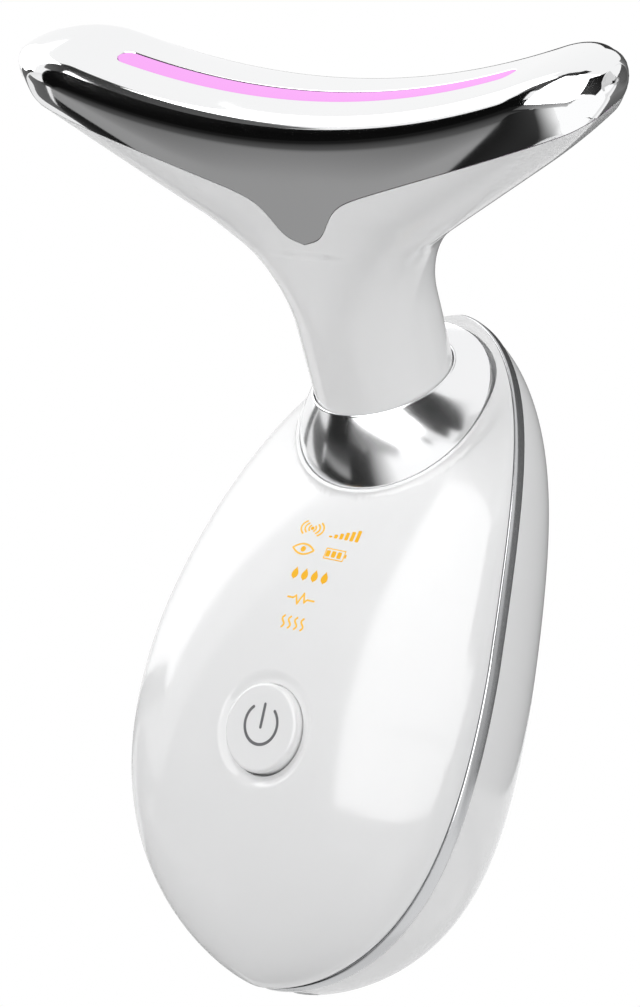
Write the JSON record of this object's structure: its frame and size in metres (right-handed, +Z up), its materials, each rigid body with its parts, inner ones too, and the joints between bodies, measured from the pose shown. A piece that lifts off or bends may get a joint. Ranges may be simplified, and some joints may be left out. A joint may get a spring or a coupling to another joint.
{
  "type": "led face and neck massager",
  "caption": "Hand-held face and neck massager: egg-shaped body, leaning neck, saddle-shaped chromed head with a light strip, push button.",
  "frame": {"origin": "middle of the hand's grip, inside the egg-shaped body, halfway up and halfway through its depth", "axes": "+Z up along the body towards the head; -Y out of the face with the button; +X to the right seen from the front"},
  "size_m": [0.0898, 0.066, 0.108],
  "materials": {
    "white_shell": "gloss white",
    "chrome": "mirror-bright plating",
    "silver_band": "satin-bright silver",
    "dark_plastic": "matt black",
    "pink_lens": "milky pink, lit from behind",
    "pink_lamp": "lamp, lit",
    "amber_lamp": "lamp, lit",
    "board": "green circuit board",
    "steel": "plain steel",
    "rubber": "soft foam and rubber",
    "battery_wrap": "silver-grey foil pouch",
    "lead": "insulated wire"
  },
  "bodies": {
    "housing": {"front_shell": "white_shell", "rear_shell": "white_shell", "seam_band": "silver_band", "neck_collar": "chrome", "neck_flange": "dark_plastic", "neck_screw_1": "steel", "neck_screw_2": "steel", "neck_housing": "white_shell", "electrode_plate": "chrome", "led_lens": "pink_lens", "head_led_1": "pink_lamp", "head_led_2": "pink_lamp", "head_led_3": "pink_lamp", "head_led_4": "pink_lamp", "head_led_5": "pink_lamp", "head_led_6": "pink_lamp", "led_board": "board", "heater_film": "dark_plastic", "vibration_motor": "steel", "motor_sleeve": "rubber", "display_led_1": "amber_lamp", "display_led_2": "amber_lamp", "display_led_3": "amber_lamp", "display_led_4": "amber_lamp", "display_led_5": "amber_lamp", "display_led_6": "amber_lamp", "display_led_7": "amber_lamp", "display_led_8": "amber_lamp", "display_led_9": "amber_lamp", "board_screw_1": "steel", "board_screw_2": "steel", "board_screw_3": "steel", "board_screw_4": "steel", "tact_switch": "dark_plastic", "control_chip": "dark_plastic", "battery_pad": "rubber", "battery": "battery_wrap", "charging_socket": "steel", "contact_spring": "steel", "main_board": "board", "display_guide": "dark_plastic", "head_lead": "lead", "motor_lead": "lead", "battery_lead": "lead"},
    "power_button": {"power_button": "white_shell"},
    "switch_plunger": {"tact_plunger": "dark_plastic"},
    "motor_rotor": {"motor_weight": "steel"}
  },
  "joints": [
    {"name": "button_press", "type": "slide", "parent": "housing", "child": "power_button", "axis": [0, 0.9881, 0.1536], "range_m": [0, 0.0005], "stiffness_N_per_m": 1500, "springref_m": -0.0002},
    {"name": "plunger_press", "type": "slide", "parent": "housing", "child": "switch_plunger", "axis": [0, 0.9881, 0.1536], "range_m": [0, 0.0005]},
    {"name": "motor_spin", "type": "hinge", "parent": "housing", "child": "motor_rotor", "pos_m": [0.0043, -0.03326, 0.04744], "axis": [1, 0, 0], "continuous": true}
  ],
  "couplings": [
    {"joint": "plunger_press", "follows": "button_press", "ratio": 1}
  ]
}
